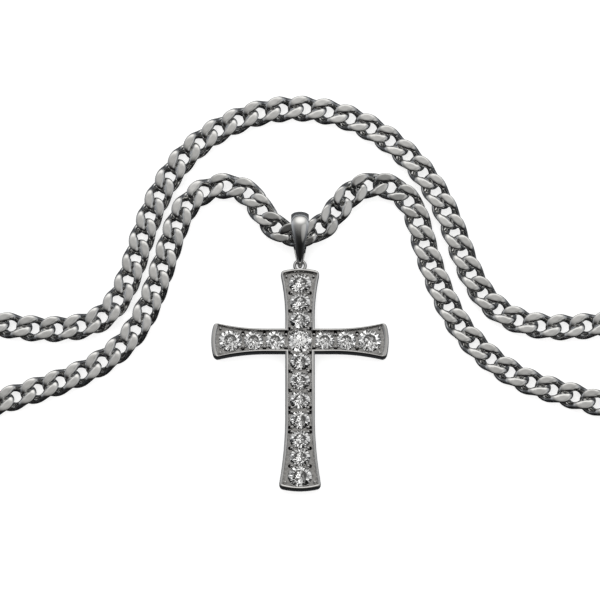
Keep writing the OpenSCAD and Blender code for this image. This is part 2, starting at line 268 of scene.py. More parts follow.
# one link is a wire bent to a long loop, with its crests pressed wide and flat on both sides
link = {
    "width": 4.05, "length": 6.34, "thickness": 1.95,
    "middle": 1.02,  # height of its middle above the surface
    "wire": 0.56,  # radius
    "oval": 0.7,  # how far the long sides bow, from straight to an ellipse
    "wave": 1.1,  # height of the twist
    "flat": 1.3,  # how long the crests run
    "widen": 0.5,  # how far the crests reach inwards
    "tip": 0.3,  # how much they lean
    "knee": 0.76, "press": 1.5,  # heights between which they flatten, in halves of the thickness
    "fade": 0.3,  # how far the widening reaches below the crest
    "stations": 40, "sides": 18,
}


def linkCentre(share):
    # the wire's middle line, once round as the share goes from 0 to 1
    half = link["width"] / 2 - link["wire"]
    straight = link["length"] / 2 - link["wire"] - half
    total = 4 * straight + 2 * math.pi * half
    along = (share % 1) * total
    side = 1
    if total / 4 < along <= total * 3 / 4:
        along -= total / 2
        side = -1
    elif along > total * 3 / 4:
        along -= total
    quarter = math.pi * half / 2
    if abs(along) <= quarter:
        x, y = straight + half * math.cos(along / half), half * math.sin(along / half)
    else:
        x, y = straight - (abs(along) - quarter), math.copysign(half, along)
    # the long sides bow outwards
    bow = half * math.sqrt(max(0, 1 - (x / (straight + half)) ** 2))
    y = math.copysign(abs(y) + link["oval"] * (bow - abs(y)), y)
    swing = math.sin(4 * math.pi * share)
    z = -link["wave"] * (link["flat"] * swing - (link["flat"] - 1) * swing**3)
    return Vector((side * x, side * y, z))


def pressed(z):
    # heights above the knee are pressed into a low dome under half the thickness
    limit, knee = link["thickness"] / 2, link["knee"]
    share = abs(z) / limit
    if share > knee:
        part = min(1, (share - knee) / (link["press"] - knee))
        share = knee + (1 - knee) * (1 - (1 - part) ** 2)
    return math.copysign(share * limit, z)


def linkMesh():
    bm = bmesh.new()
    count, sides = link["stations"], link["sides"]
    loops = []
    for j in range(count):
        here = linkCentre(j / count)
        along = (linkCentre((j + 0.5) / count) - linkCentre((j - 0.5) / count)).normalized()
        out = Vector((along.y, -along.x, 0)).normalized()
        up = along.cross(out)
        crest = here.z / link["wave"]
        loop = []
        for a in (2 * math.pi * k / sides for k in range(sides)):
            # crests are wider and higher towards the inside of the loop
            above = min(1, max(0, math.sin(a) * math.copysign(1, crest) / link["fade"] + 1))
            spread = link["widen"] * crest**2 * max(0, -math.cos(a)) ** 0.5 * above
            point = here + link["wire"] * (math.cos(a) * out + math.sin(a) * up) - spread * out
            lift = -link["tip"] * link["wire"] * crest * math.cos(a)
            loop.append((point.x * mm, point.y * mm, pressed(point.z + lift) * mm))
        loops.append(loop)
    closedLoops(bm, loops, True)
    bmesh.ops.recalc_face_normals(bm, faces=bm.faces)
    return meshOf(bm, "curbLink")


# the chain's route: x, y, lift above the surface in mm and tilt about the route in degrees
chain = {
    "route": [
        (-36.4, 2.2, 0, 0), (-31.2, 3.6, 0, 0), (-27.7, 9, 0, 0), (-25.8, 16, 0, 0),
        (-23.4, 23.4, 0, 0), (-19.5, 30.4, 0, 0), (-14, 35.3, 0, 0), (-7.1, 38.5, 0, 0),
        (0.4, 39.4, 0, 0), (8, 37.8, 0, 0), (14.7, 33.8, 0, 0), (20.1, 28.4, 0, 0), (23.8, 21.6, 0, 0),
        (26.2, 14, 0, 0), (29.2, 7, 0, 0), (35, 2.8, 0, 0), (43, 2.2, 0, 0), (51, 3.4, 0, 0),
        (59, 4.6, 0, 0), (67, 5.8, 0, 0), (75, 6.6, 0, 0), (83, 3.4, 0, 0), (86, -5, 0, 0),
        (82, -13.4, 0, 0), (73, -16.4, 0, 0), (63, -15, 0, 0), (53, -11.8, 0, 0), (43.6, -8.8, 0, 0),
        (35.6, -6.6, 0, 0), (29.6, -2.4, 0, 0), (25, 2.9, 0, 0), (22, 9.8, 0, 0), (19.7, 16.5, 0.05, 0),
        (18.5, 23, 0.05, 1), (14.5, 26.3, 0.35, -9), (9.3, 26.1, 0.6, -8), (6.1, 22.1, 1.15, -19),
        (3.1, 17.6, 1.45, -21), (-2.6, 17, 1.4, -16), (-5.9, 20.8, 1, -2), (-8.2, 25.5, 0.5, -6),
        (-13.7, 26.4, 0.01, 2), (-18.4, 23.4, 0.16, 3), (-20.6, 17.2, 0, 0), (-22.9, 9.4, 0, 0),
        (-25.6, 2.2, 0, 0), (-30.4, -2.8, 0, 0), (-36, -5.8, 0, 0), (-43.6, -8.4, 0, 0),
        (-53, -11.6, 0, 0), (-63, -15, 0, 0), (-73, -16.6, 0, 0), (-82, -13.4, 0, 0), (-86, -5, 0, 0),
        (-83, 3.6, 0, 0), (-75, 7.4, 0, 0), (-64.6, 6.8, 0, 0), (-53, 4, 0, 0), (-43, 2, 0, 0),
    ],
    "steps": 10,  # on the curve between two points
    "places": 121, "claspFirst": 35, "claspPlaces": 4, "innerLast": 106,
    "looseness": 0.8,  # most degrees that a link is turned by chance
    "seed": 7,
}


def routeTable():
    # the route as a cubic B-spline over its points, with the distance along it to each row
    points = np.array(chain["route"], float)
    rows = []
    for i in range(len(points)):
        a, b, c, d = (points[(i + k) % len(points)] for k in (-1, 0, 1, 2))
        for k in range(chain["steps"]):
            u = k / chain["steps"]
            row = (1 - u) ** 3 * a + (3 * u**3 - 6 * u**2 + 4) * b
            row = row + (-3 * u**3 + 3 * u**2 + 3 * u + 1) * c + u**3 * d
            rows.append(row / 6)
    rows = np.array(rows + [rows[0]])
    gaps = np.linalg.norm(np.diff(rows[:, :3], axis=0), axis=1)
    return np.concatenate([[0], np.cumsum(gaps)]), rows


distances, routeRows = routeTable()
pitch = distances[-1] / chain["places"]
print("chain route", round(float(distances[-1]), 1), "mm, pitch", round(float(pitch), 3), "mm")


def placeOf(i):
    # the route's row at the middle of place i
    at = ((i + 0.5) * pitch) % distances[-1]
    return np.array([np.interp(at, distances, routeRows[:, j]) for j in range(4)])


def frameBetween(a, b, middle, tilt):
    # a frame in mm along the line from a to b, leaning about it by the tilt
    x = Vector(b[:3] - a[:3]).normalized()
    y = Vector((0, 0, 1)).cross(x).normalized()
    z = x.cross(y)
    lean = math.radians(tilt)
    y2, z2 = y * math.cos(lean) + z * math.sin(lean), z * math.cos(lean) - y * math.sin(lean)
    turn = Matrix((x, y2, z2)).transposed().to_4x4()
    turn.translation = Vector(middle[:3]) + Vector((0, 0, link["middle"]))
    return turn


def linkFrame(i):
    here = placeOf(i)
    return frameBetween(placeOf(i - 1), placeOf(i + 1), here, here[3])


def strandTree():
    # sets a copy of one shape on every point of a mesh, turned by the point's own attribute
    tree = bpy.data.node_groups.new("setOnPoints", "GeometryNodeTree")
    sockets = tree.interface
    kinds = {
        "Geometry": "Geometry", "Shape": "Object", "Looseness": "Float", "Spin": "Float", "Seed": "Int",
        "Finish": "Material",
    }
    for name, kind in kinds.items():
        sockets.new_socket(name, in_out="INPUT", socket_type="NodeSocket" + kind)
    sockets.new_socket("Geometry", in_out="OUTPUT", socket_type="NodeSocketGeometry")
    inlet = addNode(tree, "NodeGroupInput", (-900, 0))
    outlet = addNode(tree, "NodeGroupOutput", (900, 0))
    shape = addNode(tree, "GeometryNodeObjectInfo", (-600, -200))
    named = "GeometryNodeInputNamedAttribute"
    turn = addNode(tree, named, (-600, -400), data_type="FLOAT_VECTOR", Name="turn")
    size = addNode(tree, named, (-600, -600), data_type="FLOAT", Name="size")
    toTurn = addNode(tree, "FunctionNodeEulerToRotation", (-300, -400))
    setShape = addNode(tree, "GeometryNodeInstanceOnPoints", (-50, 0))
    low = addNode(tree, "ShaderNodeVectorMath", (-300, 300), operation="SCALE")
    low.inputs[0].default_value = (-1, -1, -1)
    high = addNode(tree, "ShaderNodeVectorMath", (-300, 450), operation="SCALE")
    high.inputs[0].default_value = (1, 1, 1)
    chance = addNode(tree, "FunctionNodeRandomValue", (-50, 300), data_type="FLOAT_VECTOR")
    spinAxis = addNode(tree, "FunctionNodeRandomValue", (-50, 550), data_type="FLOAT")
    spinJoin = addNode(tree, "ShaderNodeCombineXYZ", (120, 550))
    sway = addNode(tree, "GeometryNodeRotateInstances", (200, 0))
    whirl = addNode(tree, "GeometryNodeRotateInstances", (380, 0))
    realize = addNode(tree, "GeometryNodeRealizeInstances", (560, 0))
    finish = addNode(tree, "GeometryNodeSetMaterial", (720, 0))
    join = tree.links.new
    join(inlet.outputs["Geometry"], setShape.inputs["Points"])
    join(inlet.outputs["Shape"], shape.inputs["Object"])
    join(shape.outputs["Geometry"], setShape.inputs["Instance"])
    join(turn.outputs["Attribute"], toTurn.inputs["Euler"])
    join(toTurn.outputs["Rotation"], setShape.inputs["Rotation"])
    join(size.outputs["Attribute"], setShape.inputs["Scale"])
    join(inlet.outputs["Looseness"], low.inputs["Scale"])
    join(inlet.outputs["Looseness"], high.inputs["Scale"])
    join(low.outputs["Vector"], chance.inputs["Min"])
    join(high.outputs["Vector"], chance.inputs["Max"])
    join(inlet.outputs["Seed"], chance.inputs["Seed"])
    join(inlet.outputs["Seed"], spinAxis.inputs["Seed"])
    join(inlet.outputs["Spin"], [s for s in spinAxis.inputs if s.name == "Max" and s.enabled][0])
    join([s for s in spinAxis.outputs if s.enabled][0], spinJoin.inputs["Z"])
    join(setShape.outputs["Instances"], sway.inputs["Instances"])
    join(chance.outputs["Value"], sway.inputs["Rotation"])
    join(sway.outputs["Instances"], whirl.inputs["Instances"])
    join(spinJoin.outputs["Vector"], whirl.inputs["Rotation"])
    join(whirl.outputs["Instances"], realize.inputs["Geometry"])
    join(realize.outputs["Geometry"], finish.inputs["Geometry"])
    join(inlet.outputs["Finish"], finish.inputs["Material"])
    join(finish.outputs["Geometry"], outlet.inputs["Geometry"])
    return tree


setOnPoints = strandTree()


def setShapes(name, shape, frames, sizes, material, looseness, spin, seed):
    # one vertex for each frame, then the tree, then a plain mesh of the result
    mesh = bpy.data.meshes.new(name + "Points")
    mesh.from_pydata([f.translation * mm for f in frames], [], [])
    turns = mesh.attributes.new("turn", "FLOAT_VECTOR", "POINT")
    turns.data.foreach_set("vector", [v for f in frames for v in f.to_euler()])
    sizeOf = mesh.attributes.new("size", "FLOAT", "POINT")
    sizeOf.data.foreach_set("value", sizes)
    holder = newObject(name + "Points", mesh)
    source = newObject(name + "Shape", shape)
    modifier = holder.modifiers.new("setOnPoints", "NODES")
    modifier.node_group = setOnPoints
    values = {
        "Shape": source, "Looseness": math.radians(looseness), "Spin": math.radians(spin), "Seed": seed,
        "Finish": material,
    }
    for socket in setOnPoints.interface.items_tree:
        if socket.in_out == "INPUT" and socket.name in values:
            modifier[socket.identifier] = values[socket.name]
    made = plainMesh(holder, name)
    drop(holder, source)
    for old in ("turn", "size"):
        if old in made.attributes:
            made.attributes.remove(made.attributes[old])
    return made


oneLink = linkMesh()
strands = {
    "chain_outer": range(chain["innerLast"] + 1 - chain["places"], chain["claspFirst"]),
    "chain_inner": range(chain["claspFirst"] + chain["claspPlaces"], chain["innerLast"] + 1),
}
for node, places in strands.items():
    frames = [linkFrame(i) for i in places]
    mesh = setShapes(node + "Links", oneLink.copy(), frames, [1.0] * len(frames), chainMetal,
                     chain["looseness"], 0, chain["seed"])
    piece = newObject(node + "Links", mesh)
    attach(piece, "root")
    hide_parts(node)
    print(node, len(frames), "links,", len(mesh.polygons), "faces")

# the cross: half sizes, reaches and flares as in the solids
cross = {
    "thick": 2.5,
    "postHalf": 2.35, "beamHalf": 1.95,
    "topHalf": 3.2, "footHalf": 3.4, "armHalf": 2.95,
    "topReach": 11.84, "footReach": 24.4, "armReach": 14.15,
    "topFlare": 8, "footFlare": 12, "armFlare": 8.5,
    "capRise": 0.45, "corner": 0.7, "innerCorner": 0.02,
    "postRim": 0.55, "beamRim": 0.46, "footRim": 0.5, "armRim": 0.72,
    "channel": 0.55,  # depth below the rims
    "flareSteps": 14, "cornerSteps": 5, "capSteps": 6, "sharp": 32,
    # share of the rim and height at each loop, from the back over the rim into the channel
    "profile": [
        (0.9, 0.0), (0.55, 0.1), (0.28, 0.34), (0.1, 0.75), (0.0, 1.3), (0.0, 2.18), (0.03, 2.31),
        (0.1, 2.4), (0.2, 2.45), (0.35, 2.488), (0.5, 2.5), (0.65, 2.488), (0.8, 2.455), (0.9, 2.41),
        (0.97, 2.32), (1.0, 2.2), (1.03, 1.95),
    ],
    # how much painted shade the seats, the pits and the ground between them get, and what marks the cut
    # faces
    "shade": {"seat": 0.8, "pit": 1.0, "ground": 0.5}, "marks": {"seat": 1, "pit": 2},
    "groundBand": 0.04,  # how near to the ground's level its own faces lie
    "ringRadius": 0.85, "ringWire": 0.25, "ringSink": 0.09, "ringSteps": 40, "ringSides": 12,
}


def flare(along, length, gain):
    # an arc that starts along the bar and gains so much over the length
    radius = (length * length + gain * gain) / (2 * gain)
    return radius - math.sqrt(radius * radius - along * along)


def barSide(start, half, endHalf, length, reach, corner):
    # the flare runs to the corner point, which a curve from edge to cap rounds off
    span, gain, capH = length - cross["capRise"], endHalf - half, endHalf - corner
    side = [(start, half)]
    for k in range(cross["flareSteps"]):
        s = (span - corner) * k / cross["flareSteps"]
        side.append((reach - length + s, half + flare(s, span, gain)))
    edge = Vector((reach - length + span - corner, half + flare(span - corner, span, gain)))
    tip = Vector((reach - cross["capRise"], endHalf))
    cap = Vector((reach - cross["capRise"] * (capH / endHalf) ** 2, capH))
    for k in range(cross["cornerSteps"] + 1):
        t = k / cross["cornerSteps"]
        side.append(tuple(edge * (1 - t) ** 2 + tip * 2 * t * (1 - t) + cap * t * t))
    for k in range(1, cross["capSteps"] + 1):
        h = capH * (1 - k / cross["capSteps"])
        side.append((reach - cross["capRise"] * (h / endHalf) ** 2, h))
    return side + [(x, -y) for x, y in side[-2:0:-1]]


def crossOutline(inset):
    # inset 0 follows the outer edge of the rims and 1 their inner edge
    half = {bar: cross[bar + "Half"] - inset * cross[bar + "Rim"] for bar in ("post", "beam")}
    corner = cross["corner"] * max(0, 1 - inset) + cross["innerCorner"]
    points = []
    for end, angle in (("arm", 0), ("top", 90), ("arm", 180), ("foot", 270)):
        own, other = ("beam", "post") if end == "arm" else ("post", "beam")
        endHalf = cross[end + "Half"] - inset * cross[own + "Rim"]
        reach = cross[end + "Reach"] - inset * cross["armRim" if end == "arm" else "footRim"]
        side = barSide(half[other], half[own], endHalf, cross[end + "Flare"], reach, corner)
        c, s = math.cos(math.radians(angle)), math.sin(math.radians(angle))
        points += [(x * c + y * s, x * s - y * c) for x, y in side]
    return points


# the stones: sizes in each row from the crossing outwards, and where the room between them goes
stones = {
    "centre": 3.8, "middle": 2.8, "top": 3.1, "arm": 3.35, "foot": 3.25,
    "centreProud": 0.12, "proud": 0.04,  # how far a table stands above the rims
    "gap": 0.1, "clear": 0.03, "seatRoom": 0.05, "seatTip": 0.02, "seatSides": 48,
    # shares that the stones are widened by across and along the post, and along and across the beam
    "postFill": (1.2, 1.02), "beamFill": (1.1, 1.08), "centreFill": (1.0, 1.0),
    "bead": 0.3, "beadTwin": 0.36, "beadInset": 0.5, "beadLift": 0.25,
    "looseness": 1.0, "spin": 90, "seed": 3,  # most degrees that a stone leans and turns by chance
    # the cut in shares of its diameter, with the stars' drop in shares of the crown
    "table": 0.57, "star": 0.76, "crown": 0.15, "pavilion": 0.42, "starDrop": 0.42, "lower": 0.25,
    "girdle": 0.016,
    # pits beside the beads as (radius, height over the ground), and where the grains stand
    "pit": ((0.05, -0.55), (0.26, -0.2), (0.32, 0.02), (0.32, 2)), "pitAside": 0.3, "pitSides": 12,
    "grain": 0.16, "grainTurns": (52, 128, 232, 308), "grainAside": 0.6, "grainLift": 0.03,
    # angle, count, shares of the free room before each stone and past the last, pairs of beads before each
    "rows": {
        "right": (0, 3, (0.25, 0.25, 0.25, 0.25), (1, 1, 1)),
        "top": (90, 3, (0.15, 0.15, 0.2, 0.5), (1, 1, 1)),
        "left": (180, 3, (0.25, 0.25, 0.25, 0.25), (1, 1, 1)),
        "bottom": (270, 7, (0.02, 0.22, 0.22, 0.32, 0.22, 0, 0, 0), (1, 1, 1, 2, 2, 1, 1)),
    },
}


def rowPlan(name):
    # a row's angle, the distances and sizes of its stones, and its beads as (along, aside)
    angle, count, shares, pairs = stones["rows"][name]
    end = {"top": "top", "bottom": "foot"}.get(name, "arm")
    bar, rim = ("beam", cross["armRim"]) if end == "arm" else ("post", cross["footRim"])
    reach = cross[end + "Reach"]
    endHalf = cross[end + "Half"] - cross[bar + "Rim"]
    half = cross[bar + "Half"] - cross[bar + "Rim"]
    sizes = [stones["middle"]] * (count - 1) + [stones[end]]
    free = reach - rim - stones["centre"] / 2 - sum(sizes) - stones["gap"] * (count + 1)
    edge, places, beads = stones["centre"] / 2, [], []
    for k in range(count):
        room = stones["gap"] + shares[k] * free
        middle = edge + room / 2
        shifts = (-stones["beadTwin"], stones["beadTwin"]) if pairs[k] == 2 else (0,)
        aside = half - stones["beadInset"]
        beads += [(middle + shift, side * aside) for shift in shifts for side in (1, -1)]
        places.append(edge + room + sizes[k] / 2)
        edge += room + sizes[k]
    farthest = reach - rim - cross["capRise"] - stones["bead"]
    beads += [(farthest, side * (endHalf - stones["beadInset"])) for side in (1, -1)]
    return math.radians(angle), places, sizes, beads


def brilliant():
    # brilliant cut of diameter 1 mm with its girdle at height 0
    bm = bmesh.new()

    def ring(radius, z, count, shift):
        turns = [2 * math.pi * (k + shift) / count for k in range(count)]
        return [bm.verts.new((radius * math.cos(a), radius * math.sin(a), z)) for a in turns]

    tableRing = ring(stones["table"] / 2, stones["crown"], 8, 0)
    starRing = ring(stones["star"] / 2, stones["crown"] * (1 - stones["starDrop"]), 8, 0.5)
    band = stones["girdle"] / 2
    girdle = ring(0.5, band, 16, 0)
    lowGirdle = ring(0.5, -band, 16, 0)
    lowRing = ring(stones["lower"] / 2, -band - stones["pavilion"] * (1 - stones["lower"]), 8, 0.5)
    culet = bm.verts.new((0, 0, -band - stones["pavilion"]))
    bm.faces.new(tableRing)
    for k in range(8):
        n, g, g2, last = (k + 1) % 8, 2 * k, (2 * k + 2) % 16, (k + 7) % 8
        bm.faces.new((tableRing[k], starRing[k], tableRing[n]))
        bm.faces.new((tableRing[k], starRing[last], girdle[g], starRing[k]))
        bm.faces.new((starRing[k], girdle[g], girdle[g + 1]))
        bm.faces.new((starRing[k], girdle[g + 1], girdle[g2]))
        bm.faces.new((lowRing[k], lowGirdle[g + 1], lowGirdle[g]))
        bm.faces.new((lowRing[k], lowGirdle[g2], lowGirdle[g + 1]))
        bm.faces.new((lowRing[last], lowGirdle[g], lowRing[k], culet))
    for k in range(16):
        n = (k + 1) % 16
        bm.faces.new((girdle[k], lowGirdle[k], lowGirdle[n], girdle[n]))
    bmesh.ops.recalc_face_normals(bm, faces=bm.faces)
    bmesh.ops.scale(bm, vec=(mm, mm, mm), verts=bm.verts)
    return meshOf(bm, "brilliantCut")


def standing(x, y, z):
    return Matrix.Translation((x, y, z))


def girdleLevel(size, proud):
    return cross["thick"] + proud - size * stones["crown"]


plans = {name: rowPlan(name) for name in stones["rows"]}
stoneSpots = [(0.0, 0.0, stones["centre"], stones["centreProud"], "stone_centre", stones["centreFill"])]
beadSpots, pitSpots = [], []
for name, (angle, places, sizes, beads) in plans.items():
    fill = stones["postFill" if name in ("top", "bottom") else "beamFill"]
    for k, (at, size) in enumerate(zip(places, sizes)):
        x, y = at * math.cos(angle), at * math.sin(angle)
        stoneSpots.append((x, y, size, stones["proud"], f"stone_{name}_{k + 1}", fill))
    for at, aside in beads:
        c, s = math.cos(angle), math.sin(angle)
        beadSpots.append((at * c - aside * s, at * s + aside * c))
        if at != beads[-1][0]:
            # all but the last pair have a pit beside them
            wide = aside + math.copysign(stones["pitAside"], aside)
            pitSpots.append((at * c - wide * s, at * s + wide * c))


def crossBody():
    bm = bmesh.new()
    loops = [[(x * mm, y * mm, z * mm) for x, y in crossOutline(inset)] for inset, z in cross["profile"]]
    rings = closedLoops(bm, loops, False)
    bm.faces.new(rings[0])
    bm.faces.new(rings[-1])
    bmesh.ops.recalc_face_normals(bm, faces=bm.faces)
    return newObject("crossBody", meshOf(bm, "crossBody"))


def coneCut(bm, x, y, mark, levels, sides, fill=(1, 1)):
    # a stack of circles as (radius, z), marked with the material index that its cut faces get
    rings = [
        [((x + r * fill[0] * math.cos(a)) * mm, (y + r * fill[1] * math.sin(a)) * mm, z * mm)
         for a in (2 * math.pi * k / sides for k in range(sides))]
        for r, z in levels
    ]
    first = len(bm.faces)
    made = closedLoops(bm, rings, False)
    bm.faces.new(made[0])
    bm.faces.new(made[-1])
    bm.faces.ensure_lookup_table()
    for face in bm.faces[first:]:
        face.material_index = mark


def seatCutter():
    bm = bmesh.new()
    for x, y, size, proud, name, fill in stoneSpots:
        top = girdleLevel(size, proud)
        radius = size / 2 + stones["clear"]
        deep = size * stones["pavilion"] + stones["seatRoom"]
        levels = ((radius * stones["seatTip"], top - deep), (radius, top), (radius, top + 2))
        coneCut(bm, x, y, cross["marks"]["seat"], levels, stones["seatSides"], fill)
    bmesh.ops.recalc_face_normals(bm, faces=bm.faces)
    return newObject("seatCutter", meshOf(bm, "seatCutter"))


def pitCutter():
    bm = bmesh.new()
    ground = cross["thick"] - cross["channel"]
    for x, y in pitSpots:
        levels = [(radius, ground + z) for radius, z in stones["pit"]]
        coneCut(bm, x, y, cross["marks"]["pit"], levels, stones["pitSides"])
    bmesh.ops.recalc_face_normals(bm, faces=bm.faces)
    return newObject("pitCutter", meshOf(bm, "pitCutter"))


def grainPlan():
    # four small grains hold each stone, nearer to its neighbours than to the rims
    for x, y, size, proud, name, fill in stoneSpots:
        level = girdleLevel(size, proud) + stones["grainLift"]
        upright = fill == stones["postFill"]
        for turn in stones["grainTurns"]:
            a = math.radians(turn if upright else turn + 90)
            reach = size / 2 + stones["grain"] * stones["grainAside"]
            yield x + reach * fill[0] * math.cos(a), y + reach * fill[1] * math.sin(a), level


def makeCross():
    body = crossBody()
    cutters = [seatCutter(), pitCutter()]
    # plain slots keep the marks of the cut faces through the cuts
    for thing in [body] + cutters:
        for k in range(len(cross["marks"]) + 1):
            thing.data.materials.append(None)
    for cutter in cutters:
        cut = body.modifiers.new("seats", "BOOLEAN")
        cut.operation, cut.object, cut.solver = "DIFFERENCE", cutter, "MANIFOLD"
    mesh = plainMesh(body, "crossSeats")
    drop(body, *cutters)
    bm = bmesh.new()
    bm.from_mesh(mesh)
    ground = (cross["thick"] - cross["channel"]) * mm
    # painted shade: each face keeps its share of darkening, full in the pits, most in the seats and half
    # on the flat ground
    recessShade = bm.faces.layers.float.new("recessShade")
    shades = {mark: cross["shade"][part] for part, mark in cross["marks"].items()}
    for face in bm.faces:
        away = abs(face.calc_center_median().z - ground)
        flat = face.normal.z > 0.9 and away < cross["groundBand"] * mm
        face[recessShade] = shades.get(face.material_index, cross["shade"]["ground"] if flat else 0.0)
        face.material_index = 0
    # grains at the stones' corners, then the beads
    lift = cross["thick"] - cross["channel"] + stones["bead"] * stones["beadLift"]
    balls = [(x, y, level, stones["grain"]) for x, y, level in grainPlan()]
    balls += [(x, y, lift, stones["bead"]) for x, y in beadSpots]
    for x, y, z, radius in balls:
        place = standing(x * mm, y * mm, z * mm)
        bmesh.ops.create_icosphere(bm, subdivisions=2, radius=radius * mm, matrix=place)
    # the ring is soldered on the top end
    radius, wire, count = cross["ringRadius"], cross["ringWire"], cross["ringSides"]
    middle = Vector((0, cross["topReach"] + radius - cross["ringSink"], cross["thick"] / 2))
    loops = []
    for j in range(cross["ringSteps"]):
        a = 2 * math.pi * j / cross["ringSteps"]
        out = Vector((math.cos(a), math.sin(a), 0))
        loops.append([
            (middle + out * (radius + wire * math.cos(b)) + Vector((0, 0, wire * math.sin(b)))) * mm
            for b in (2 * math.pi * k / count for k in range(count))
        ])
    closedLoops(bm, loops, True)
    for face in bm.faces:
        face.smooth = True
    bmesh.ops.recalc_face_normals(bm, faces=bm.faces)
    made = meshOf(bm, "crossFrame")
    made.set_sharp_from_angle(angle=math.radians(cross["sharp"]))
    made.materials.clear()
    made.materials.append(crossMetalShaded)
    return made


piece = newObject("crossFrame", makeCross())
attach(piece, "root")
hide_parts("cross_frame")
print("cross made,", len(piece.data.polygons), "faces,", len(beadSpots), "beads")


def widen(mesh):
    # each stone is stretched about its own middle by its fill
    points = np.zeros(len(mesh.vertices) * 3)
    mesh.vertices.foreach_get("co", points)
    points = points.reshape(len(stoneSpots), -1, 3)
    for k, (x, y, size, proud, name, fill) in enumerate(stoneSpots):
        middle, share = np.array((x * mm, y * mm)), np.array(fill)
        points[k, :, :2] = middle + (points[k, :, :2] - middle) * share
    mesh.vertices.foreach_set("co", points.ravel())


frames = [standing(x, y, girdleLevel(size, proud)) for x, y, size, proud, name, fill in stoneSpots]
mesh = setShapes("stones", brilliant(), frames, [spot[2] for spot in stoneSpots], stoneGlass,
                 stones["looseness"], stones["spin"], stones["seed"])
widen(mesh)
piece = newObject("stones", mesh)
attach(piece, "root")
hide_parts(*[spot[4] for spot in stoneSpots])
print("stones set,", len(stoneSpots))

# the bail is a domed strap bent round the chain, with its tip through the ring
bail = {
    "length": 8.85, "depth": 5.39, "width": 2.95, "tipWidth": 0.66, "wall": 0.7, "tipWall": 0.5,
    "tipHole": 0.4, "tipStart": 12.25, "dome": 0.34, "stations": 40, "across": 10, "sharp": 50,
    # degrees at which the front leaves the circle of the top and meets that of the tip
    "frontFrom": 96, "frontTo": 150, "frontStep": 0.35,
    # how far the strap's edges draw in and drop, and its width inside
    "edgeIn": 0.1, "edgeDrop": 0.12, "edgeEnd": 0.97, "inside": 0.94, "insideDrop": 0.05,
    # shares of the length from the tip and of the growth in width there
    "shares": [
        (0, 0), (0.09, 0.14), (0.18, 0.3), (0.3, 0.5), (0.42, 0.68), (0.56, 0.86), (0.7, 0.97),
        (0.82, 1), (1, 0.98),
    ],
}


def bailWidth(y):
    share = (y - bail["tipStart"]) / bail["length"]
    table = np.array(bail["shares"])
    grow = float(np.interp(share, table[:, 0], table[:, 1]))
    return bail["tipWidth"] / 2 + (bail["width"] - bail["tipWidth"]) / 2 * grow


def bailPath():
    # points of the belt round the two circles as (place, outward, wall)
    topR, tipR = bail["depth"] / 2, bail["tipHole"] + bail["tipWall"]
    top = Vector((bail["tipStart"] + bail["length"] - topR, topR))
    tip = Vector((bail["tipStart"] + tipR, cross["thick"] / 2))
    between = top - tip
    turn = math.atan2(between.y, between.x)
    lean = math.acos((tipR - topR) / between.length)
    arcs = (
        (tip, tipR, math.radians(bail["frontTo"]), turn - lean + 2 * math.pi, bail["tipWall"]),
        (top, topR, turn - lean, math.radians(bail["frontFrom"]), bail["wall"]),
    )
    corners = []
    for centre, radius, a, b, wall in arcs:
        for k in range(bail["stations"] + 1):
            t = a + (b - a) * k / bail["stations"]
            out = Vector((math.cos(t), math.sin(t)))
            corners.append((centre + out * radius, out, wall))
    path = []
    count = len(corners)
    for k in range(count):
        place, out, wall = corners[k]
        place2, out2, wall2 = corners[(k + 1) % count]
        path.append(corners[k])
        gap = (place2 - place).length
        steps = int(gap / bail["frontStep"])
        pull, pull2 = Vector((-out.y, out.x)) * gap, Vector((-out2.y, out2.x)) * gap
        for j in range(1, steps):
            # the front bows out between the two arcs and the back stays straight
            u = j / steps
            bow = (2 * u**3 - 3 * u**2 + 1) * place + (3 * u**2 - 2 * u**3) * place2
            bow += (u**3 - 2 * u**2 + u) * pull + (u**3 - u**2) * pull2
            along = (6 * u**2 - 6 * u) * (place - place2)
            along += (3 * u**2 - 4 * u + 1) * pull
            along += (3 * u**2 - 2 * u) * pull2
            side = Vector((along.y, -along.x)).normalized()
            path.append((bow, side, wall + (wall2 - wall) * u))
    return path


def makeBail():
    bm = bmesh.new()
    loops = []
    for place, out, wall in bailPath():
        half = bailWidth(place.x)
        ring = []
        count = bail["across"]
        for k in range(count + 1):
            s = -1 + 2 * k / count
            edge = 1 - abs(s) ** 6 * bail["edgeIn"] if abs(s) < 1 else bail["edgeEnd"]
            sag = bail["dome"] * s * s * min(1, half) + abs(s) ** 8 * bail["edgeDrop"]
            ring.append((s * half * edge, place - out * sag))
        for k in range(count, -1, -1):
            s = -1 + 2 * k / count
            ring.append((s * half * bail["inside"], place - out * (wall - bail["insideDrop"] * s * s)))
        loops.append([(x * mm, p.x * mm, p.y * mm) for x, p in ring])
    closedLoops(bm, loops, True)
    bmesh.ops.recalc_face_normals(bm, faces=bm.faces)
    made = meshOf(bm, "bailStrap")
    made.set_sharp_from_angle(angle=math.radians(bail["sharp"]))
    made.materials.append(bailMetalLit)
    return made


piece = newObject("bailStrap", makeBail())
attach(piece, "root")
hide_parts("bail")
print("bail made,", len(piece.data.polygons), "faces")

# the clasp is a plain closed box with an eye like half a link at each end
clasp = {
    "width": 4.4, "thickness": 1.8, "corner": 1.2, "eyeRoom": 0.52, "cornerSteps": 8, "sharp": 40,
    # inset and depth under the face at each loop of one half, down to the seam round its middle
    "edge": [(0.45, 0.0), (0.12, 0.1), (0.0, 0.34)], "seam": [(0.0, 0.1), (0.07, 0.04)],
}


